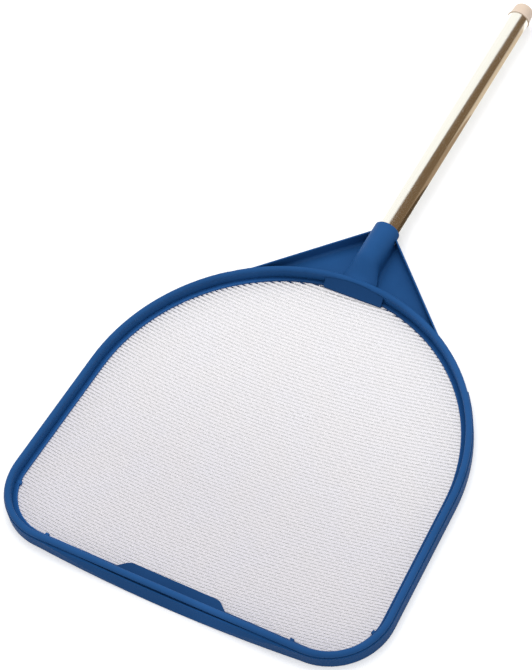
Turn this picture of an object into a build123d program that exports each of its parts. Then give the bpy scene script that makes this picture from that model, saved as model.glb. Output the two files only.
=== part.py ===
"""Leaf skimmer net: a moulded scoop frame with a clamped net, on a short tubular handle.

Units are millimetres, +Z is up and the frame lies on the plane Z = 0. X runs across the
scoop, Y runs from the front edge to the end of the handle, and the origin is the middle
of the footprint.
"""
import os
from math import cos, pi, radians, sin

from build123d import *

# ---- net opening, seen from above ----
opening_half_width = 205.5   # half the opening's width, along its straight front edge
opening_length = 392.4       # front edge to the top of the rear arc
corner_radius = 54.0         # front corners of the opening
side_taper = 1.9             # degrees that each side leans in towards the handle

# ---- net ----
net_level = 4.6              # height of the net's lower face
net_thickness = 0.8          # two crossing threads
net_tuck = 4.1               # width of net held under the ring

# ---- rim of the frame: a bead on a channelled wall, with a seat for the net inside it ----
seat_width = 4.7             # opening edge to the inner wall
seat_thickness = 2.4
rim_wall = 1.9
rim_wall_reach = 10.6        # opening edge to the outer face of the outer wall
bead_radius = 3.4
bead_height = 16.0           # height of the bead's centre
channel_depth = 12.0         # channel moulded up into the rim from below

# ---- retaining ring that clamps the net ----
ring_thickness = 1.5         # at the rim, where the ring is thinner
ring_lip_thickness = 3.0     # at the opening
ring_overlap = 0.3           # how far the ring covers the net inside the opening
snap_depth = 0.7             # snap rib on the ring, and on the edge strip
snap_height = 1.4
fit_gap = 0.1                # clearance of snapped and pushed fits
front_tab_width = 122.0
front_tab_reach = 8.5
front_tab_side = 10.0        # how far each slanted end of the front tab runs
front_tab_round = 12.0
rear_tab_width = 68.0
rear_tab_reach = 2.4         # chord of the rear tab past the ring's edge, at its ends
rear_tab_height = 12.6       # at the bead
rear_tab_edge_height = 2.4   # at the chord
lug_width = 4.0
lug_reach = 1.8
left_lug_x = -144.0          # lugs on the front edge
right_lug_x = 134.5
corner_lug_angle = -14.0     # lug in each front corner, in degrees round the corner

# ---- edge strip round the sides and front ----
strip_thickness = 1.8
strip_base = 0.4             # underside of the strip above the resting plane
strip_top = 14.8             # against the bead
strip_right_end = 38.0       # degrees round the rear arc; the left end is where the arc starts
lip_bulge = 6.0              # extra reach of the strip's foot at the middle of the front
lip_top_bulge = 1.6          # and of its top edge
lip_groove_depth = 2.4       # groove between the bead and the lip
lip_groove_half_length = 113.0
lip_edge_thickness = 0.9

# ---- socket and gusset ----
handle_height = 20.8         # height of the handle's axis
socket_wall = 1.85           # round the tube's bore
socket_reach = 79.2          # rear arc of the opening to the socket's mouth
tube_depth = 42.0            # how far the tube goes into the socket
mouth_chamfer = 0.8
ramp_flare = 6.0             # how much wider each side of the socket is where it meets the bead
ramp_side_height = 12.0      # height of the foot's sides there
ramp_top_gap = 0.6           # top of the foot below the bead's crest there
socket_cove = 3.0            # round between the socket's sides and the web
web_thickness = 2.4
web_level = 8.0              # height of the webs' upper face
gusset_half_span = 118.0     # where each gusset rib leaves the bead
gusset_tip_setback = 5.0     # gusset ribs end this far short of the mouth
foot_setback = 10.5          # and the socket's foot this far
rib_thickness = 1.5
rib_foot_height = 18.8       # rib height at the bead
rib_tip_height = 22.0        # rib height at the socket
rib_cove = 3.0               # round between each rib and the web

# ---- handle tube, end cap and screw ----
tube_radius = 12.5
tube_wall = 1.2
tube_exposed = 331.0         # socket mouth to the cap's lip
cap_head_step = 0.5          # the cap's head is this much smaller in radius than the tube
cap_lip_step = 0.9           # and its lip this much larger
cap_lip_thickness = 1.2
cap_head_height = 18.5
cap_round = 5.0
plug_length = 16.0
plug_rib_count = 3
screw_setback = 22.0         # screw axis in from the socket's mouth
screw_radius = 1.75
screw_head_radius = 3.8
screw_head_height = 2.2
screw_recess = 3.0
screw_pilot_gap = 0.15

# ---- values worked out from the sizes above ----
taper = radians(side_taper)
socket_radius = tube_radius + fit_gap / 2 + socket_wall
ramp_half_width = socket_radius + ramp_flare
cap_head_radius = tube_radius - cap_head_step
cap_lip_radius = tube_radius + cap_lip_step
front_reach = rim_wall_reach + fit_gap + strip_thickness + lip_bulge
mouth_from_front = opening_length + socket_reach
tail_from_front = mouth_from_front + tube_exposed + cap_head_height
front_y = -(tail_from_front - front_reach) / 2
arc_centre_y = front_y + (opening_length - opening_half_width * cos(taper)) / (1 - sin(taper))
arc_radius = front_y + opening_length - arc_centre_y
corner_x = opening_half_width - (corner_radius + corner_radius * sin(taper)) / cos(taper)
corner_y = front_y + corner_radius
mouth_y = front_y + mouth_from_front
tube_start_y = mouth_y - tube_depth
cap_y = mouth_y + tube_exposed
net_top = net_level + net_thickness
strip_outer = rim_wall_reach + fit_gap + strip_thickness
bead_reach = seat_width + bead_radius
rear_of_bead = front_y + opening_length + bead_reach


def on_arc(centre_x, centre_y, radius, angle):
    """Point at an angle in radians on a circle in the plan."""
    return Vector(centre_x + radius * cos(angle), centre_y + radius * sin(angle), 0)


def section_plane(point, outward_angle):
    """Plane across the rim: local x points outward from the opening, local y points up."""
    outward = Vector(cos(outward_angle), sin(outward_angle), 0)
    against_travel = Vector(sin(outward_angle), -cos(outward_angle), 0)
    return Plane(origin=point, x_dir=outward, z_dir=against_travel)


def straight_run(section, start, end, outward_angle):
    return extrude(section_plane(start, outward_angle) * section, (end - start).length, dir=end - start)


def curved_run(section, centre_x, centre_y, radius, start_angle, end_angle):
    start = on_arc(centre_x, centre_y, radius, start_angle)
    axis = Axis((centre_x, centre_y, 0), (0, 0, 1))
    turn = (end_angle - start_angle) * 180 / pi
    return revolve(section_plane(start, start_angle) * section, axis, revolution_arc=turn)


def half_front(section):
    """Right half of the rim from the middle of the front, round the corner, up the side."""
    front_start = Vector(0, front_y, 0)
    corner_start = on_arc(corner_x, corner_y, corner_radius, -pi / 2)
    side_start = on_arc(corner_x, corner_y, corner_radius, taper)
    side_end = on_arc(0, arc_centre_y, arc_radius, taper)
    run = straight_run(section, front_start, corner_start, -pi / 2)
    run += curved_run(section, corner_x, corner_y, corner_radius, -pi / 2, taper)
    run += straight_run(section, side_start, side_end, taper)
    return run


def half_rear(section):
    """Right half of the rim's rear arc."""
    return curved_run(section, 0, arc_centre_y, arc_radius, taper, pi / 2)


def both_sides(half):
    return half + mirror(half, Plane.YZ)


def opening_outline(offset):
    """Plan of the opening, moved outward by an offset, as a face on Z = 0."""
    corner_start = Vector(corner_x, front_y - offset, 0)
    corner_mid = on_arc(corner_x, corner_y, corner_radius + offset, (taper - pi / 2) / 2)
    corner_end = on_arc(corner_x, corner_y, corner_radius + offset, taper)
    side_end = on_arc(0, arc_centre_y, arc_radius + offset, taper)
    arc_top = on_arc(0, arc_centre_y, arc_radius + offset, pi / 2)

    def flip(point):
        return Vector(-point.X, point.Y, 0)

    edges = [
        Line(flip(corner_start), corner_start),
        ThreePointArc(corner_start, corner_mid, corner_end),
        Line(corner_end, side_end),
        ThreePointArc(side_end, arc_top, flip(side_end)),
        Line(flip(side_end), flip(corner_end)),
        ThreePointArc(flip(corner_end), flip(corner_mid), flip(corner_start)),
    ]
    return make_face(edges)


def strip_run(section):
    """A section run along the edge strip's path."""
    right_end = curved_run(section, 0, arc_centre_y, arc_radius, taper, radians(strip_right_end))
    return both_sides(half_front(section)) + right_end


def rim_section():
    """Bead on its wall, with the net's seat and a groove for the retaining ring."""
    inside = Polyline(
        (seat_width, 0),
        (seat_width, net_level - seat_thickness),
        (0, net_level - seat_thickness),
        (0, net_level),
        (seat_width, net_level),
        (seat_width, bead_height),
    )
    crest = ThreePointArc(
        (seat_width, bead_height),
        (bead_reach, bead_height + bead_radius),
        (bead_reach + bead_radius, bead_height),
    )
    outside = Polyline(
        (bead_reach + bead_radius, bead_height),
        (rim_wall_reach, bead_height - bead_radius),
        (rim_wall_reach, 0),
        (seat_width, 0),
    )
    section = make_face([inside, crest, outside])
    ring_groove = Pos(seat_width, net_top + snap_height / 2) * Rectangle(
        2 * (snap_depth + fit_gap), snap_height + 2 * fit_gap
    )
    return section - ring_groove


def strip_groove_section():
    """Groove in the rim that the edge strip snaps into."""
    return Pos(rim_wall_reach, strip_snap_height()) * Rectangle(
        2 * (snap_depth + fit_gap), snap_height + 2 * fit_gap
    )


def channel_section():
    """Channel in the rim, open below, that leaves a wall on each side of it."""
    channel_width = rim_wall_reach - seat_width - 2 * rim_wall
    middle = (seat_width + rim_wall_reach) / 2
    return Pos(middle, channel_depth / 2) * Rectangle(channel_width, channel_depth)


def strip_snap_height():
    """Height of the edge strip's snap rib."""
    return (strip_base + bead_height - bead_radius) / 2


def make_webs():
    """Flat plate between the rim and the socket, under the gusset ribs."""
    tip_y = mouth_y - gusset_tip_setback
    foot_y = rib_foot().Y
    plan = make_face(Polyline(
        (-gusset_half_span, foot_y),
        (-socket_radius, tip_y),
        (socket_radius, tip_y),
        (gusset_half_span, foot_y),
        (0, arc_centre_y),
        close=True,
    ))
    plan -= Pos(0, arc_centre_y) * Circle(arc_radius + rim_wall_reach - rim_wall / 2)
    return Pos(0, 0, web_level - web_thickness) * extrude(plan, web_thickness)


def rib_foot():
    """Point on the bead's centre line where the right gusset rib starts."""
    reach = arc_radius + bead_reach
    rise = (reach**2 - gusset_half_span**2) ** 0.5
    return Vector(gusset_half_span, arc_centre_y + rise, 0)


def make_rib():
    """Right gusset rib: a wall along the web's edge with a cove down to the web."""
    foot = rib_foot()
    tip = Vector(socket_radius - rib_thickness, mouth_y - gusset_tip_setback, 0)
    length = (tip - foot).length
    along = Plane(origin=foot, x_dir=tip - foot, z_dir=(tip - foot).cross(Vector(0, 0, 1)))
    side_view = make_face(Polyline(
        (0, 0), (length, 0), (length, rib_tip_height), (0, rib_foot_height), close=True
    ))
    wall = extrude(along * side_view, -rib_thickness)
    corner = rib_thickness + rib_cove
    lift = web_level + rib_cove
    cove = make_face([
        Polyline(
            (rib_thickness / 2, lift),
            (rib_thickness / 2, web_level - web_thickness / 2),
            (corner, web_level - web_thickness / 2),
            (corner, web_level),
        ),
        ThreePointArc(
            (corner, web_level),
            (corner - rib_cove * sin(pi / 4), lift - rib_cove * cos(pi / 4)),
            (rib_thickness, lift),
        ),
        Line((rib_thickness, lift), (rib_thickness / 2, lift)),
    ])
    inward = (tip - foot).cross(Vector(0, 0, -1))
    across = Plane(origin=foot, x_dir=inward, z_dir=inward.cross(Vector(0, 0, 1)))
    travel = 1 if across.z_dir.dot(tip - foot) > 0 else -1
    rib = wall + extrude(across * cove, travel * length)
    inside_rim = Pos(0, arc_centre_y) * Circle(arc_radius + seat_width + rim_wall / 2)
    return rib - extrude(inside_rim, 2 * handle_height)


def socket_section(y, half_width, side_height, top):
    """Section across the socket: an arch on straight sides, with a cove at each foot."""
    foot = half_width + socket_cove
    cove_top = web_level + socket_cove
    cove_mid = socket_cove * (1 - cos(pi / 4))
    plane = Plane(origin=(0, y, 0), x_dir=(1, 0, 0), z_dir=(0, -1, 0))
    return plane * make_face([
        Polyline((-foot, web_level), (-foot, 0), (foot, 0), (foot, web_level)),
        ThreePointArc(
            (foot, web_level),
            (half_width + cove_mid, web_level + cove_mid),
            (half_width, cove_top),
        ),
        Line((half_width, cove_top), (half_width, side_height)),
        ThreePointArc((half_width, side_height), (0, top), (-half_width, side_height)),
        Line((-half_width, side_height), (-half_width, cove_top)),
        ThreePointArc(
            (-half_width, cove_top),
            (-half_width - cove_mid, web_level + cove_mid),
            (-foot, web_level),
        ),
    ])


def make_socket():
    """Round mouth, then a barrel on its foot that sweeps down and widens towards the bead."""
    ramp_start_y = tube_start_y - rim_wall
    barrel_top = handle_height + socket_radius
    ramp_top = bead_height + bead_radius - ramp_top_gap
    ramp_length = ramp_start_y - rear_of_bead
    foot_end_y = mouth_y - foot_setback
    mouth = Plane(origin=(0, mouth_y, handle_height), x_dir=(1, 0, 0), z_dir=(0, -1, 0))
    barrel_end = socket_section(foot_end_y, socket_radius, handle_height, barrel_top)
    socket = extrude(mouth * Circle(socket_radius), 2 * foot_setback)
    socket += extrude(barrel_end, foot_end_y - ramp_start_y, dir=(0, -1, 0))
    sections = []
    for step in range(5):
        run = step / 4
        blend = (1 - cos(pi * run)) / 2
        sections.append(socket_section(
            ramp_start_y - run * ramp_length,
            socket_radius + blend * (ramp_half_width - socket_radius),
            handle_height + blend * (ramp_side_height - handle_height),
            barrel_top + blend * (ramp_top - barrel_top),
        ))
    return socket + loft(sections)


def socket_bore():
    """Bore for the tube, its lead-in at the mouth, and the screw's hole and recess."""
    mouth = Plane(origin=(0, mouth_y, handle_height), x_dir=(1, 0, 0), z_dir=(0, -1, 0))
    bore = extrude(mouth * Circle(tube_radius + fit_gap / 2), tube_depth)
    lead_in = loft([
        mouth * Circle(tube_radius + fit_gap / 2 + mouth_chamfer),
        mouth.offset(mouth_chamfer) * Circle(tube_radius + fit_gap / 2),
    ])
    screw_y = mouth_y - screw_setback
    hole = Pos(0, screw_y, handle_height / 2) * Cylinder(screw_radius + screw_pilot_gap, handle_height)
    recess = Pos(0, screw_y, screw_recess / 2) * Cylinder(screw_head_radius + 0.4, screw_recess)
    return bore + lead_in + hole + recess


def make_frame():
    frame = both_sides(half_front(rim_section()) + half_rear(rim_section()))
    frame -= strip_run(strip_groove_section())
    frame += make_webs() + both_sides(make_rib()) + make_socket()
    channel = both_sides(half_front(channel_section()) + half_rear(channel_section()))
    return frame - channel - socket_bore()


def make_net():
    return Pos(0, 0, net_level) * extrude(opening_outline(net_tuck), net_thickness)


def ring_section():
    """Clamping ring that falls from its lip to the rim, with a snap rib on its outer edge."""
    inner = -ring_overlap
    outer = seat_width - fit_gap
    bar = make_face(Polyline(
        (inner, net_top),
        (outer, net_top),
        (outer, net_top + ring_thickness),
        (inner + ring_lip_thickness / 3, net_top + ring_lip_thickness),
        (inner, net_top + ring_lip_thickness * 2 / 3),
        close=True,
    ))
    rib = Pos(outer, net_top + snap_height / 2) * Rectangle(2 * snap_depth, snap_height)
    return bar + rib


def make_front_tab():
    """Rounded trapezoid over the net at the middle of the front."""
    half = front_tab_width / 2
    inner_y = front_y + front_tab_reach
    root_y = front_y - seat_width / 2
    plan = make_face(Polyline(
        (-half, root_y), (half, root_y), (half, front_y),
        (half - front_tab_side, inner_y), (front_tab_side - half, inner_y), (-half, front_y),
        close=True,
    ))
    plan = fillet(plan.vertices().group_by(Axis.Y)[-1], front_tab_round)
    return Pos(0, 0, net_top) * extrude(plan, ring_lip_thickness)


def make_rear_tab():
    """Wedge that falls from the bead to a straight chord at the middle of the rear arc."""
    half = rear_tab_width / 2
    ring_edge = arc_radius - ring_overlap
    chord_y = arc_centre_y + (ring_edge**2 - half**2) ** 0.5 - rear_tab_reach
    back_y = arc_centre_y + arc_radius + seat_width
    side_plane = Plane(origin=(-half, 0, 0), x_dir=(0, 1, 0), z_dir=(1, 0, 0))
    side_view = make_face(Polyline(
        (chord_y, net_top),
        (back_y, net_top),
        (back_y, net_top + rear_tab_height),
        (chord_y, net_top + rear_tab_edge_height),
        close=True,
    ))
    limit = Pos(0, arc_centre_y) * Circle(arc_radius + seat_width - 3 * fit_gap)
    column = Pos(0, 0, net_top) * extrude(limit, rear_tab_height)
    return column & extrude(side_plane * side_view, rear_tab_width)


def make_lug(x, y, outward_angle):
    """Snap lug on the ring's inner edge, centred at a point of the opening's edge."""
    reach = lug_reach + ring_overlap + seat_width / 2
    plan = Pos(seat_width / 2 - reach / 2, 0) * Rectangle(reach, lug_width)
    turned = Pos(x, y, net_top) * Rot(0, 0, outward_angle * 180 / pi) * plan
    return extrude(turned, ring_lip_thickness)


def make_ring():
    section = ring_section()
    ring = both_sides(half_front(section) + half_rear(section))
    lug_angle = radians(corner_lug_angle)
    corner_point = on_arc(corner_x, corner_y, corner_radius, lug_angle)
    lugs = both_sides(make_lug(corner_point.X, corner_point.Y, lug_angle))
    lugs += make_lug(left_lug_x, front_y, -pi / 2) + make_lug(right_lug_x, front_y, -pi / 2)
    return ring + lugs + make_front_tab() + make_rear_tab()


def strip_section():
    """Edge strip: its top leans out along the underside of the bead."""
    inner = rim_wall_reach + fit_gap
    outer = inner + strip_thickness
    flank_foot = bead_height - bead_radius
    lean = (bead_reach + bead_radius - rim_wall_reach) * (strip_top - flank_foot) / bead_radius
    top_round = strip_thickness / 4
    wall = make_face(Polyline(
        (inner, strip_base),
        (outer, strip_base),
        (outer, strip_top - top_round),
        (outer - top_round, strip_top),
        (inner + lean, strip_top),
        (inner, flank_foot),
        close=True,
    ))
    rib = Pos(inner, strip_snap_height()) * Rectangle(2 * snap_depth, snap_height)
    return wall + rib


def make_lip():
    """Flared front of the strip: bows out to its full reach at the middle."""
    wall_y = front_y - rim_wall_reach - fit_gap - strip_thickness / 2
    side_y = front_y - strip_outer
    plan = make_face([
        Line((-corner_x, wall_y), (corner_x, wall_y)),
        Line((corner_x, wall_y), (corner_x, side_y)),
        ThreePointArc((corner_x, side_y), (0, side_y - lip_bulge), (-corner_x, side_y)),
        Line((-corner_x, side_y), (-corner_x, wall_y)),
    ])
    block = Pos(0, 0, strip_base) * extrude(plan, strip_top - strip_base)
    slope = make_face(Polyline(
        (-wall_y, strip_base),
        (strip_outer + lip_bulge - front_y, strip_base),
        (strip_outer + lip_bulge - front_y, strip_base + strip_thickness / 2),
        (strip_outer + lip_top_bulge - front_y, strip_top - strip_thickness / 4),
        (strip_outer + lip_top_bulge - strip_thickness / 4 - front_y, strip_top),
        (-wall_y, strip_top),
        close=True,
    ))
    side_plane = Plane(origin=(corner_x, 0, 0), x_dir=(0, -1, 0), z_dir=(-1, 0, 0))
    return block & extrude(side_plane * slope, 2 * corner_x)


def lip_groove():
    """Groove between the bead and the bowed top edge of the lip."""
    wall_y = front_y - rim_wall_reach
    reach = strip_outer + lip_top_bulge - lip_edge_thickness - rim_wall_reach
    half = lip_groove_half_length
    plan = make_face([
        Line((-half, wall_y), (half, wall_y)),
        ThreePointArc((half, wall_y), (0, wall_y - reach), (-half, wall_y)),
    ])
    return Pos(0, 0, strip_top - lip_groove_depth) * extrude(plan, 2 * lip_groove_depth)


def make_strip():
    return strip_run(strip_section()) + make_lip() - lip_groove()


def make_tube():
    start = Plane(origin=(0, tube_start_y, handle_height), x_dir=(-1, 0, 0), z_dir=(0, 1, 0))
    ring = Circle(tube_radius) - Circle(tube_radius - tube_wall)
    tube = extrude(start * ring, tube_depth + tube_exposed)
    hole = Pos(0, mouth_y - screw_setback, handle_height - tube_radius) * Cylinder(
        screw_radius + screw_pilot_gap, 4 * tube_wall
    )
    return tube - hole


def make_cap():
    """Push-in plug with a mushroom head and a thin flared lip."""
    plug_radius = tube_radius - tube_wall - fit_gap / 2
    rib_depth = 0.6
    core = plug_radius - rib_depth
    rib_pitch = plug_length / (plug_rib_count + 1)
    outline = [(0, -plug_length), (core - 1, -plug_length), (core, -plug_length + 1)]
    for index in range(plug_rib_count):
        low = -plug_length + rib_pitch * (index + 0.7)
        outline += [(core, low), (plug_radius, low + rib_depth)]
        outline += [(plug_radius, low + 2 * rib_depth), (core, low + 2.5 * rib_depth)]
    outline += [
        (core, 0),
        (cap_lip_radius, 0),
        (cap_lip_radius, cap_lip_thickness / 2),
        (cap_head_radius + 0.3, cap_lip_thickness * 2.5),
        (cap_head_radius - 0.4, cap_head_height - cap_round),
    ]
    shoulder = cap_head_radius - 0.4
    face = make_face([
        Polyline(*outline),
        ThreePointArc(
            (shoulder, cap_head_height - cap_round),
            (shoulder - cap_round * (1 - cos(pi / 4)), cap_head_height - cap_round * (1 - sin(pi / 4))),
            (shoulder - cap_round, cap_head_height),
        ),
        Polyline((shoulder - cap_round, cap_head_height), (0, cap_head_height), (0, -plug_length)),
    ])
    lie = Plane(origin=(0, cap_y, handle_height), x_dir=(1, 0, 0), z_dir=(0, 0, 1))
    return revolve(lie * face, Axis((0, cap_y, handle_height), (0, 1, 0)))


def make_screw():
    """Pan-head self-tapping screw from below, through the socket into the tube."""
    screw_y = mouth_y - screw_setback
    head_base = screw_recess - screw_head_height
    tip = handle_height - tube_radius + 2.5 * tube_wall
    face = make_face(Polyline(
        (0, head_base),
        (screw_head_radius * 0.7, head_base),
        (screw_head_radius, head_base + screw_head_height * 0.5),
        (screw_head_radius, screw_recess),
        (screw_radius, screw_recess),
        (screw_radius, tip - screw_radius),
        (screw_radius * 0.2, tip),
        (0, tip),
        close=True,
    ))
    upright = Plane(origin=(0, screw_y, 0), x_dir=(1, 0, 0), z_dir=(0, -1, 0))
    screw = revolve(upright * face, Axis((0, screw_y, 0), (0, 0, 1)))
    drive = screw_head_radius * 1.1
    for angle in (0, 90):
        slot = Rot(0, 0, angle) * Box(drive, 0.8, screw_head_height)
        screw -= Pos(0, screw_y, head_base) * slot
    return screw


parts = {
    "scoop_frame": make_frame(),
    "net": make_net(),
    "net_retaining_ring": make_ring(),
    "edge_strip": make_strip(),
    "handle_tube": make_tube(),
    "handle_end_cap": make_cap(),
    "socket_screw": make_screw(),
}

os.makedirs("parts", exist_ok=True)
for name, shape in parts.items():
    export_step(shape, f"parts/{name}.step")
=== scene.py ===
"""Leaf skimmer net: looks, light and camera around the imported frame. Metres, same frame as the CAD."""
from math import cos, pi, radians, sin

import bpy
import numpy as np
from mathutils import Matrix, Vector


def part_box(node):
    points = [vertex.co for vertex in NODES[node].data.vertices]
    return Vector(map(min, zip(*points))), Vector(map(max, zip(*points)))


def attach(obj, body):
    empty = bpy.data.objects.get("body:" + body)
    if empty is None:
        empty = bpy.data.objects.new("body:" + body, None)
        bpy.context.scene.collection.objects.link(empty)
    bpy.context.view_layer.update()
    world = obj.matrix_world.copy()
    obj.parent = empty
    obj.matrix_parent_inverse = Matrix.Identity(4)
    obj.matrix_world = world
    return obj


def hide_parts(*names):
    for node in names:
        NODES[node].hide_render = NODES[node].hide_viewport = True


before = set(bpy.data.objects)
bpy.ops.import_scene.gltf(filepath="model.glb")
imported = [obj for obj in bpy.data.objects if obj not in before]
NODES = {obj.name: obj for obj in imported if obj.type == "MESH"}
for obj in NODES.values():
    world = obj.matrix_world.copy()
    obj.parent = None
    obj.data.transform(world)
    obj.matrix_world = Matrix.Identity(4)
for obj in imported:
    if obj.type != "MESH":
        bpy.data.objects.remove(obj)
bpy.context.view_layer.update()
MM = 0.001

# ---- where things are, from the CAD ----
net_low, net_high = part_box("net")
tube_low, tube_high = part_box("handle_tube")
NET_MIDDLE_Z = (net_low.z + net_high.z) / 2

# ---- colours, in linear red, green and blue; a group runs from dark to light ----
FRAME_BLUES = ((0.0121, 0.067, 0.202), (0.0150, 0.077, 0.227), (0.0185, 0.087, 0.254))
# the ring's blues are darker than the frame's: painted shade for its tabs, which face the front, away
# from the light
RING_SHADED_BLUES = ((0.0070, 0.042, 0.131), (0.0086, 0.048, 0.148), (0.0106, 0.055, 0.166))
# the strip's blues are darker than the frame's: painted shade for its outward and front-facing walls
STRIP_SHADED_BLUES = ((0.0085, 0.055, 0.170), (0.0105, 0.063, 0.192), (0.0130, 0.071, 0.216))
CAP_BEIGES = ((0.60, 0.47, 0.37), (0.68, 0.55, 0.44), (0.76, 0.63, 0.51))
ALUMINIUMS = ((0.95, 0.93, 0.83), (0.985, 0.97, 0.88), (1.0, 0.99, 0.92))
ALUMINIUM_DULL = (0.84, 0.79, 0.70)
STEELS = ((0.48, 0.48, 0.47), (0.66, 0.66, 0.66))
YARN_WHITES = ((0.72, 0.69, 0.705), (0.775, 0.745, 0.765), (0.805, 0.78, 0.795))
YARN_CLOUD = (0.76, 0.745, 0.80)
# painted shade for the net's front and painted light for its rear
YARN_FRONT_SHADE = (0.62, 0.59, 0.645)
YARN_REAR_LIGHT = (0.93, 0.91, 0.92)


# ---------------------------------------------------------------- shader helpers
def material(name):
    mat = bpy.data.materials.new(name)
    mat.use_nodes = True
    tree = mat.node_tree
    return mat, tree, tree.nodes["Principled BSDF"]


def node(tree, kind, **values):
    """New node, with its named inputs or else its named settings filled in."""
    made = tree.nodes.new(kind)
    for key, value in values.items():
        if key in made.inputs:
            made.inputs[key].default_value = value
        else:
            setattr(made, key, value)
    return made


def stretched(tree, scale=(1, 1, 1)):
    """Object coordinates, stretched differently along X, Y and Z."""
    place = node(tree, "ShaderNodeTexCoord")
    mapping = node(tree, "ShaderNodeMapping", Scale=scale)
    tree.links.new(place.outputs["Object"], mapping.inputs["Vector"])
    return mapping.outputs["Vector"]


def along(tree, axis):
    """Object coordinate along one axis, "X", "Y" or "Z"."""
    split = node(tree, "ShaderNodeSeparateXYZ")
    tree.links.new(stretched(tree), split.inputs["Vector"])
    return split.outputs[axis]


def noise(tree, vector, scale=1.0, detail=4.0, rough=0.55):
    made = node(tree, "ShaderNodeTexNoise", Scale=scale, Detail=detail, Roughness=rough)
    tree.links.new(vector, made.inputs["Vector"])
    return made.outputs["Fac"]


def ramp(tree, value, positions, colours):
    """Colour that runs through the colours as the value passes their positions."""
    made = node(tree, "ShaderNodeValToRGB")
    elements = made.color_ramp.elements
    while len(elements) < len(colours):
        elements.new(0.5)
    for element, position, colour in zip(elements, positions, colours):
        element.position = position
        element.color = (*colour, 1.0)
    tree.links.new(value, made.inputs["Fac"])
    return made.outputs["Color"]


def spread(tree, value, low, high, start=0.3, end=0.7):
    """Runs from low to high as the value goes from start to end, and stays there beyond them."""
    made = node(tree, "ShaderNodeMapRange")
    made.inputs["From Min"].default_value = start
    made.inputs["From Max"].default_value = end
    made.inputs["To Min"].default_value = low
    made.inputs["To Max"].default_value = high
    tree.links.new(value, made.inputs["Value"])
    return made.outputs["Result"]


def mix_colour(tree, factor, colour, tint):
    """Colour with some of a plain tint mixed in."""
    made = node(tree, "ShaderNodeMix", data_type="RGBA", blend_type="MIX")
    first, second = [socket for socket in made.inputs if socket.type == "RGBA"]
    tree.links.new(factor, made.inputs["Factor"])
    tree.links.new(colour, first)
    second.default_value = (*tint, 1.0)
    return next(socket for socket in made.outputs if socket.type == "RGBA")


def maths(tree, operation, first, second):
    made = node(tree, "ShaderNodeMath", operation=operation)
    tree.links.new(first, made.inputs[0])
    tree.links.new(second, made.inputs[1])
    return made.outputs["Value"]


def bump(tree, shader, height, strength, distance_mm):
    made = node(tree, "ShaderNodeBump", Strength=strength, Distance=distance_mm * MM)
    tree.links.new(height, made.inputs["Height"])
    tree.links.new(made.outputs["Normal"], shader.inputs["Normal"])


# ---------------------------------------------------------------- materials
SIDE_START, SIDE_END = 0.06, 0.11     # distances from the middle over which painted light comes onto the ring's sides
# how much paler the painted light makes the ring's left and right sides
LEFT_PAINTED_LIGHT, RIGHT_PAINTED_LIGHT = 1.75, 1.6
FRONT_SHADE_Y = (-0.40, -0.14)         # painted shade on the net's front fades out from the first Y to the second
REAR_LIGHT_Y = (-0.28, -0.02)          # and painted light on its rear fades in


def paint_side_light(tree, colour, light):
    """Colour with painted light towards the left and right sides of the scoop, fuller on the left, as if
    the ledges there were lit.
    """
    across = along(tree, "X")
    # painted light on the ring's left and right ledges
    left = spread(tree, across, 1.0, 0.0, -SIDE_END, -SIDE_START)
    colour = mix_colour(tree, left, colour, tuple(LEFT_PAINTED_LIGHT * c for c in light))
    right = spread(tree, across, 0.0, 0.5, SIDE_START, SIDE_END)
    return mix_colour(tree, right, colour, tuple(RIGHT_PAINTED_LIGHT * c for c in light))


def moulded_plastic(name, colours, rough, specular, grain, painted_side_light=False):
    """Satin moulded plastic: cloudy pigment, a fine mould texture, flow marks and light scuffs."""
    mat, tree, shader = material(name)
    cloud = noise(tree, stretched(tree), scale=9.0, detail=5.0)
    speck = noise(tree, stretched(tree), scale=900.0, detail=2.0)
    scuff = noise(tree, stretched(tree, (40, 900, 300)), detail=6.0, rough=0.7)
    light = colours[-1]
    colour = ramp(tree, cloud, (0.32, 0.5, 0.68), colours)
    scuffed = tuple(min(1.0, 1.5 * c + 0.03) for c in light)
    colour = mix_colour(tree, spread(tree, scuff, 0.0, 0.16, 0.62, 0.78), colour, scuffed)
    # painted light on the ring's sides
    if painted_side_light:
        colour = paint_side_light(tree, colour, light)
    tree.links.new(colour, shader.inputs["Base Color"])
    worn = spread(tree, scuff, 0.0, 0.10, 0.55, 0.75)
    roughness = maths(tree, "ADD", spread(tree, cloud, rough - 0.05, rough + 0.06), worn)
    tree.links.new(roughness, shader.inputs["Roughness"])
    shader.inputs["Specular IOR Level"].default_value = specular
    scratches = spread(tree, scuff, 0.0, 0.4, 0.6, 0.8)
    height = maths(tree, "ADD", spread(tree, speck, 0.0, 0.6, 0.2, 0.8), scratches)
    bump(tree, shader, height, grain, distance_mm=0.05)
    return mat


def drawn_tube(name):
    """Drawn aluminium with a warm cast: fine lines along the tube, faint handling marks."""
    mat, tree, shader = material(name)
    lines = noise(tree, stretched(tree, (700, 3, 700)), detail=6.0, rough=0.75)
    cloud = noise(tree, stretched(tree), scale=14.0, detail=5.0)
    marks = noise(tree, stretched(tree, (60, 160, 60)), detail=6.0, rough=0.7)
    colour = ramp(tree, lines, (0.25, 0.5, 0.75), ALUMINIUMS)
    colour = mix_colour(tree, spread(tree, marks, 0.0, 0.35, 0.6, 0.78), colour, ALUMINIUM_DULL)
    tree.links.new(colour, shader.inputs["Base Color"])
    shader.inputs["Metallic"].default_value = 1.0
    rough = maths(tree, "ADD", spread(tree, lines, 0.15, 0.23), spread(tree, cloud, 0.0, 0.05))
    rough = maths(tree, "ADD", rough, spread(tree, marks, 0.0, 0.12, 0.6, 0.78))
    tree.links.new(rough, shader.inputs["Roughness"])
    bump(tree, shader, lines, strength=0.12, distance_mm=0.04)
    return mat


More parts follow.
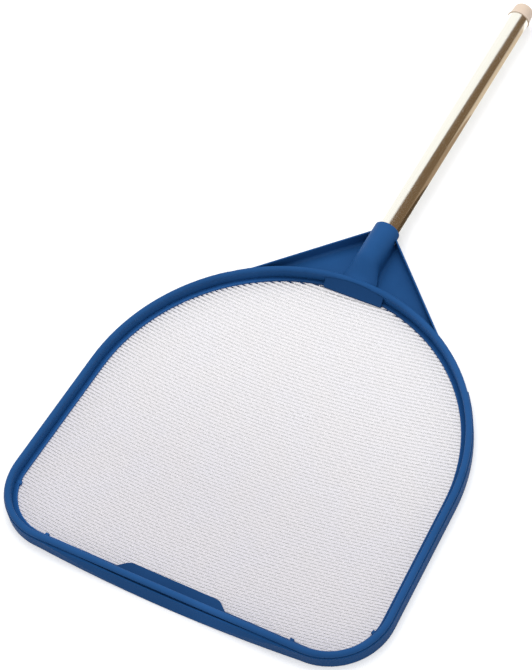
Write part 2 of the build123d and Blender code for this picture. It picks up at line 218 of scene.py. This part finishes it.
def steel(name):
    """Bright steel with a fine even grain."""
    mat, tree, shader = material(name)
    fine = noise(tree, stretched(tree), scale=1400.0, detail=3.0)
    tree.links.new(ramp(tree, fine, (0.3, 0.7), STEELS), shader.inputs["Base Color"])
    shader.inputs["Metallic"].default_value = 1.0
    tree.links.new(spread(tree, fine, 0.24, 0.40), shader.inputs["Roughness"])
    bump(tree, shader, fine, strength=0.15, distance_mm=0.03)
    return mat


def yarn(name):
    """White polyester yarn: filaments along the rows, uneven whiteness, painted shade towards the front
    and painted light towards the rear.
    """
    mat, tree, shader = material(name)
    filaments = noise(tree, stretched(tree, (260, 5200, 1200)), detail=4.0, rough=0.6)
    cloud = noise(tree, stretched(tree), scale=22.0, detail=5.0)
    colour = ramp(tree, filaments, (0.25, 0.5, 0.75), YARN_WHITES)
    colour = mix_colour(tree, spread(tree, cloud, 0.0, 0.45, 0.42, 0.66), colour, YARN_CLOUD)
    # painted shade greys the front rows and painted light whitens the rear ones, as light falls off away
    # from the key
    front_shade = spread(tree, along(tree, "Y"), 0.40, 0.0, *FRONT_SHADE_Y)
    colour = mix_colour(tree, front_shade, colour, YARN_FRONT_SHADE)
    rear_light = spread(tree, along(tree, "Y"), 0.0, 0.5, *REAR_LIGHT_Y)
    colour = mix_colour(tree, rear_light, colour, YARN_REAR_LIGHT)
    tree.links.new(colour, shader.inputs["Base Color"])
    tree.links.new(spread(tree, filaments, 0.48, 0.66), shader.inputs["Roughness"])
    shader.inputs["Specular IOR Level"].default_value = 0.35
    shader.inputs["Sheen Weight"].default_value = 0.15
    shader.inputs["Sheen Roughness"].default_value = 0.4
    bump(tree, shader, filaments, strength=0.5, distance_mm=0.12)
    return mat


def dress(name, mat):
    """Puts one material on a node that came from the CAD."""
    piece = NODES[name]
    for slot in piece.material_slots:
        slot.material = mat
    if not piece.material_slots:
        piece.data.materials.append(mat)


def dress_cad_nodes():
    dress("scoop_frame", moulded_plastic("moulded_blue", FRAME_BLUES, 0.46, 0.07, 0.35))
    # the ring's material holds painted shade in its darker blues and painted light on its sides
    dress("net_retaining_ring",
          moulded_plastic("ring_blue_painted_shade_and_light", RING_SHADED_BLUES, 0.48, 0.07, 0.40, painted_side_light=True))
    dress("edge_strip", moulded_plastic("strip_blue_painted_shade", STRIP_SHADED_BLUES, 0.52, 0.06, 0.45))
    dress("handle_end_cap", moulded_plastic("beige_cap", CAP_BEIGES, 0.44, 0.35, 0.40))
    dress("handle_tube", drawn_tube("warm_aluminium"))
    dress("socket_screw", steel("bright_steel"))


# ---------------------------------------------------------------- net, sizes in mm
EDGE = 0.6                            # yarn ends stop this far inside the net's edge
ROW_RATE = 0.310                      # rows per mm at the front
ROW_SLOWER = 0.00021                  # rows open up towards the handle
ROW_LEAN = 0.012                      # rows lean a little across the scoop
ROW_BOW = 0.00026                     # and curve towards the handle at the sides
ROWS_BEFORE, ROWS_AFTER = 10, 6       # rows tried beyond those that cross the middle line
ROWS_PER_PIECE = 19
POINT_STEP = 1.45                     # between points along a strand
FEWEST_POINTS = 4                     # a shorter strand is left out
WAVE = 0.12                           # each row bows this far towards its neighbours
STRAND_OFFSET = 0.62                  # each row is two strands side by side
STRAND_HALF_WIDTH = 0.69
STRAND_HALF_HEIGHT = 0.38
STRAND_LIFT = 0.05                    # one strand of a row rises this far where the other dips
END_CLOSES, END_RUN = 0.42, 11.0      # a strand's ends are wider by this share, over this length
KNOT_PITCH = 8.7                      # between knots along a row
KNOT_HALF_WIDTH = 0.46
KNOT_HALF_HEIGHT = 0.37
KNOT_INSET = 0.4                      # a knot starts and ends this far inside its two rows
KNOT_MARGIN = 1.0                     # knots stay this far inside the ends of the yarn
KNOT_POINTS = 4
YARN_SIDES = 6                        # corners of a strand's or a knot's section


def net_outline():
    """Levels in Y and the net's half width at each, from the CAD net's own edge."""
    points = np.array([vertex.co for vertex in NODES["net"].data.vertices])
    points = points[points[:, 0] >= 0]
    levels = np.unique(np.round(points[:, 1], 6))
    widths = [points[np.abs(points[:, 1] - y) < 2e-6, 0].max() for y in levels]
    return levels, np.array(widths)


OUTLINE_Y, OUTLINE_HALF_WIDTH = net_outline()
X_LIMIT = OUTLINE_HALF_WIDTH.max() / MM


def yarn_half_width(y):
    """How far the yarn reaches to each side at Y, in metres; negative beyond the net's ends."""
    return np.interp(y, OUTLINE_Y, OUTLINE_HALF_WIDTH, left=-1.0, right=-1.0) - EDGE * MM


def rows_up(x_mm, number):
    """Rows up the middle line to the level that a row reaches at X."""
    return ROW_LEAN * x_mm + ROW_BOW * x_mm**2 / 2 + number


def row_y(x_mm, number):
    """Y of a row of yarn, in metres, before its small waves."""
    root = np.sqrt(ROW_RATE**2 - 2 * ROW_SLOWER * rows_up(x_mm, number))
    return net_low.y + (ROW_RATE - root) / ROW_SLOWER * MM


def wave(x_mm, number):
    """Small wave of a row, in metres: neighbouring rows bow towards each other at each knot."""
    return WAVE * MM * np.cos(2 * pi * x_mm / KNOT_PITCH + pi * number)


def strand_points(number, side):
    """Points of one strand of a row, between the net's two edges."""
    x = np.arange(-X_LIMIT, X_LIMIT + POINT_STEP, POINT_STEP)
    x = x[2 * ROW_SLOWER * rows_up(x, number) < ROW_RATE**2]    # row_y has a root only here
    y = row_y(x, number) + wave(x, number) + side * STRAND_OFFSET * MM
    keep = np.abs(x) * MM < yarn_half_width(y)
    if keep.sum() < FEWEST_POINTS:
        return None
    x, y = x[keep], y[keep]
    lift = side * STRAND_LIFT * MM * np.sin(4 * pi * x / KNOT_PITCH + number)
    return np.column_stack([x * MM, y, NET_MIDDLE_Z + lift])


def strand_half_width(points):
    """Half width along a strand, in mm: the weave closes up where the rim holds it."""
    x = points[:, 0] / MM
    from_end = np.minimum(x - x[0], x[-1] - x)
    return STRAND_HALF_WIDTH * (1 + END_CLOSES * np.exp(-(from_end / END_RUN) ** 2))


def knot_points(number, x_mm):
    """Points of a knot that ties a row to the next one."""
    x = np.array([x_mm])
    low = row_y(x, number)[0] + wave(x, number)[0]
    high = row_y(x, number + 1)[0] + wave(x, number + 1)[0]
    if abs(x_mm) * MM > min(yarn_half_width(low), yarn_half_width(high)) - KNOT_MARGIN * MM:
        return None
    y = np.linspace(low + KNOT_INSET * MM, high - KNOT_INSET * MM, KNOT_POINTS)
    return np.column_stack([np.full(KNOT_POINTS, x_mm * MM), y, np.full(KNOT_POINTS, NET_MIDDLE_Z)])


def add_oval_tube(points, half_width_mm, half_height_mm, vertices, faces):
    """Adds a closed oval tube along points. Its half width is one number or one for each point."""
    heading = np.gradient(points[:, :2], axis=0)
    heading /= np.linalg.norm(heading, axis=1)[:, None]
    side = np.stack([-heading[:, 1], heading[:, 0]], axis=1)
    corners = []
    for corner in range(YARN_SIDES):
        angle = 2 * pi * corner / YARN_SIDES
        across = half_width_mm * MM * cos(angle)
        up = half_height_mm * MM * sin(angle)
        corners.append(np.column_stack([points[:, 0] + side[:, 0] * across,
                                        points[:, 1] + side[:, 1] * across,
                                        points[:, 2] + up]))
    start = sum(len(block) for block in vertices)
    vertices.append(np.stack(corners, axis=1).reshape(-1, 3))
    last = start + (len(points) - 1) * YARN_SIDES
    for ring in range(start, last, YARN_SIDES):
        for corner in range(YARN_SIDES):
            a = ring + corner
            b = ring + (corner + 1) % YARN_SIDES
            faces.append((a, a + YARN_SIDES, b + YARN_SIDES, b))
    faces.append(tuple(start + corner for corner in range(YARN_SIDES)))
    faces.append(tuple(last + corner for corner in reversed(range(YARN_SIDES))))


def count_rows():
    """How many rows cross the net's middle line."""
    count = 0
    while ROW_RATE**2 > 2 * ROW_SLOWER * count:
        if row_y(np.array([0.0]), count)[0] > net_high.y:
            break
        count += 1
    return count


def net_rows():
    """The two strands of each row that crosses the net, by the row's number."""
    rows = {}
    for number in range(-ROWS_BEFORE, count_rows() + ROWS_AFTER):
        strands = [strand_points(number, side) for side in (-1, 1)]
        if all(points is not None for points in strands):
            rows[number] = strands
    return rows


def add_knots(number, vertices, faces):
    """Adds the knots between a row and the next. Those of odd rows sit half a pitch over."""
    most = int(X_LIMIT / KNOT_PITCH) + 2
    for place in range(-most, most + 1):
        points = knot_points(number, KNOT_PITCH * (place - (number % 2) / 2))
        if points is not None:
            add_oval_tube(points, KNOT_HALF_WIDTH, KNOT_HALF_HEIGHT, vertices, faces)


def make_net():
    """Pieces of the net, each a band of rows and the knots above them, with their points."""
    rows = net_rows()
    yarn_material = yarn("white_yarn")
    numbers = sorted(rows)
    pieces = []
    for first in range(0, len(numbers), ROWS_PER_PIECE):
        vertices, faces = [], []
        for number in numbers[first:first + ROWS_PER_PIECE]:
            for points in rows[number]:
                add_oval_tube(points, strand_half_width(points), STRAND_HALF_HEIGHT, vertices, faces)
            if number + 1 in rows:
                add_knots(number, vertices, faces)
        points = np.vstack(vertices)
        name = "net_yarn_%d" % len(pieces)
        mesh = bpy.data.meshes.new(name)
        mesh.from_pydata(points.tolist(), [], faces)
        mesh.polygons.foreach_set("use_smooth", [True] * len(mesh.polygons))
        mesh.materials.append(yarn_material)
        mesh.update()
        piece = bpy.data.objects.new(name, mesh)
        bpy.context.scene.collection.objects.link(piece)
        pieces.append((piece, points))
    return pieces


def fit_net():
    for piece, points in make_net():
        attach(piece, "root")
        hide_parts("net")


# ---------------------------------------------------------------- floor, world and light
FLOOR_SIZE, FLOOR_DROP = 14, 0.0002
AMBIENT = 0.84                        # strength of the sky as a light


def empty_tree(owner):
    """Node tree of a material or a world, cleared."""
    owner.use_nodes = True
    owner.node_tree.nodes.clear()
    return owner.node_tree


def looked_at(tree):
    """1 for rays from the camera, reflections and clear surfaces, and 0 for scattered light."""
    path = node(tree, "ShaderNodeLightPath")
    seen = maths(tree, "MAXIMUM", path.outputs["Is Camera Ray"], path.outputs["Is Glossy Ray"])
    return maths(tree, "MAXIMUM", seen, path.outputs["Is Transmission Ray"])


def finish_tree(tree, output, lit, seen):
    """Ends a tree with one shader for scattered light and another where it is looked at."""
    choose = node(tree, "ShaderNodeMixShader")
    tree.links.new(looked_at(tree), choose.inputs[0])
    tree.links.new(lit.outputs[0], choose.inputs[1])
    tree.links.new(seen.outputs[0], choose.inputs[2])
    tree.links.new(choose.outputs[0], node(tree, output).inputs[0])


def pale_floor():
    """Pale floor that reads white to the camera and in reflections and keeps the object's shadow."""
    bpy.ops.mesh.primitive_plane_add(size=FLOOR_SIZE, location=(0, 0, -FLOOR_DROP))
    floor = bpy.context.object
    floor.name = "floor"
    mat = bpy.data.materials.new("pale_floor")
    tree = empty_tree(mat)
    plain = node(tree, "ShaderNodeBsdfDiffuse", Color=(0.62, 0.62, 0.62, 1))
    shaded = node(tree, "ShaderNodeBsdfDiffuse", Color=(0.78, 0.78, 0.79, 1))
    glow = node(tree, "ShaderNodeEmission", Color=(1, 1, 1, 1), Strength=0.33)
    both = node(tree, "ShaderNodeAddShader")
    tree.links.new(shaded.outputs[0], both.inputs[0])
    tree.links.new(glow.outputs[0], both.inputs[1])
    finish_tree(tree, "ShaderNodeOutputMaterial", lit=plain, seen=both)
    floor.data.materials.append(mat)


def studio_world():
    """Soft cool sky as a light, plain white where it is seen."""
    world = bpy.data.worlds.new("studio")
    bpy.context.scene.world = world
    tree = empty_tree(world)
    soft = node(tree, "ShaderNodeBackground", Color=(0.97, 0.985, 1.0, 1), Strength=AMBIENT)
    white = node(tree, "ShaderNodeBackground", Color=(1, 1, 1, 1), Strength=1.0)
    finish_tree(tree, "ShaderNodeOutputWorld", lit=soft, seen=white)


def softbox(name, position, size, watts, colour):
    """Square lamp that faces the origin."""
    data = bpy.data.lights.new(name, "AREA")
    data.shape = "RECTANGLE"
    data.size, data.size_y = size, size
    data.energy = watts
    data.color = colour
    lamp = bpy.data.objects.new(name, data)
    lamp.location = position
    lamp.rotation_euler = (-Vector(position)).to_track_quat("-Z", "Y").to_euler()
    bpy.context.scene.collection.objects.link(lamp)
    return lamp


def lamps():
    key = softbox("key", (-0.62, 0.80, 2.15), size=1.8, watts=26.0, colour=(1.0, 0.99, 0.975))
    key.visible_glossy = False
    softbox("top_fill", (0.3, -0.2, 2.3), size=1.6, watts=5.0, colour=(0.97, 0.985, 1.0))


# ---------------------------------------------------------------- cards beside the handle
CARD_INNER, CARD_OUTER = 0.018, 0.17  # X of the lying cards' long edges
CARD_Z = 0.001
CARD_START = tube_low.y + 0.02        # where the cards along the handle begin, meet and end
CARD_LIGHTER = tube_low.y + 0.13
CARD_BRIGHTER = tube_low.y + 0.24
CARD_END_INNER, CARD_END_OUTER = tube_high.y, tube_high.y + 0.12
LEAN_X, LEAN_LOW_TOP, LEAN_HIGH_TOP = -0.14, 0.42, 0.50
LEAN_END = tube_high.y + 0.30


def add_card(name, corners, colour):
    """Card seen only in glossy reflections, which shapes the light and dark sides of the tube."""
    mesh = bpy.data.meshes.new(name)
    mesh.from_pydata(corners, [], [(0, 1, 2, 3)])
    card = bpy.data.objects.new(name, mesh)
    bpy.context.scene.collection.objects.link(card)
    mat = bpy.data.materials.new(name)
    tree = empty_tree(mat)
    glow = node(tree, "ShaderNodeEmission", Color=(*colour, 1), Strength=1.0)
    out = node(tree, "ShaderNodeOutputMaterial")
    tree.links.new(glow.outputs[0], out.inputs[0])
    mesh.materials.append(mat)
    card.visible_camera = False
    card.visible_diffuse = False
    card.visible_shadow = False
    card.visible_transmission = False


def add_lying_card(name, start, end_inner, end_outer, colour):
    corners = [(CARD_INNER, start, CARD_Z), (CARD_OUTER, start, CARD_Z),
               (CARD_OUTER, end_outer, CARD_Z), (CARD_INNER, end_inner, CARD_Z)]
    add_card(name, corners, colour)


def cards():
    """One card leans over the handle and three lie beside it, brighter towards the cap."""
    leaning = [(CARD_OUTER, CARD_START, 0.0), (CARD_OUTER, LEAN_END, 0.0),
               (CARD_OUTER, LEAN_END, LEAN_LOW_TOP), (LEAN_X, CARD_START, LEAN_HIGH_TOP)]
    add_card("leaning_card", leaning, (0.168, 0.108, 0.061))
    add_lying_card("dark_lying_card", CARD_START, CARD_LIGHTER, CARD_LIGHTER, (0.085, 0.055, 0.031))
    add_lying_card("light_lying_card", CARD_LIGHTER, CARD_BRIGHTER, CARD_BRIGHTER, (0.33, 0.235, 0.155))
    add_lying_card("bright_lying_card", CARD_BRIGHTER, CARD_END_INNER, CARD_END_OUTER, (0.62, 0.50, 0.38))


# ---------------------------------------------------------------- camera
AZIMUTH, ELEVATION, ROLL = 37.24, 53.78, -10.76
FRONT = Vector((0.0, net_low.y + 0.0047, 0.005))         # middle of the opening's front edge
FRONT_IN_CAMERA = Vector((-0.092455, -0.248296, -2.2469025))    # its place in the camera's axes
SENSOR, LENS = 36.0, 123.58209


def place_camera():
    """Camera whose axes put the opening's front edge at its given place."""
    azimuth, elevation, roll = radians(AZIMUTH), radians(ELEVATION), radians(ROLL)
    back = Vector((sin(azimuth) * cos(elevation), -cos(azimuth) * cos(elevation), sin(elevation)))
    right = Vector((0, 0, 1)).cross(back).normalized()
    up = back.cross(right)
    right, up = right * cos(roll) + up * sin(roll), up * cos(roll) - right * sin(roll)
    turn = Matrix((right, up, back)).transposed()
    data = bpy.data.cameras.new("camera")
    data.sensor_width = SENSOR
    data.lens = LENS
    data.clip_start, data.clip_end = 0.05, 100
    camera = bpy.data.objects.new("camera", data)
    bpy.context.scene.collection.objects.link(camera)
    camera.matrix_world = Matrix.Translation(FRONT - turn @ FRONT_IN_CAMERA) @ turn.to_4x4()
    bpy.context.scene.camera = camera


dress_cad_nodes()
fit_net()
pale_floor()
studio_world()
lamps()
cards()
place_camera()
bpy.context.scene.view_settings.view_transform = "Standard"
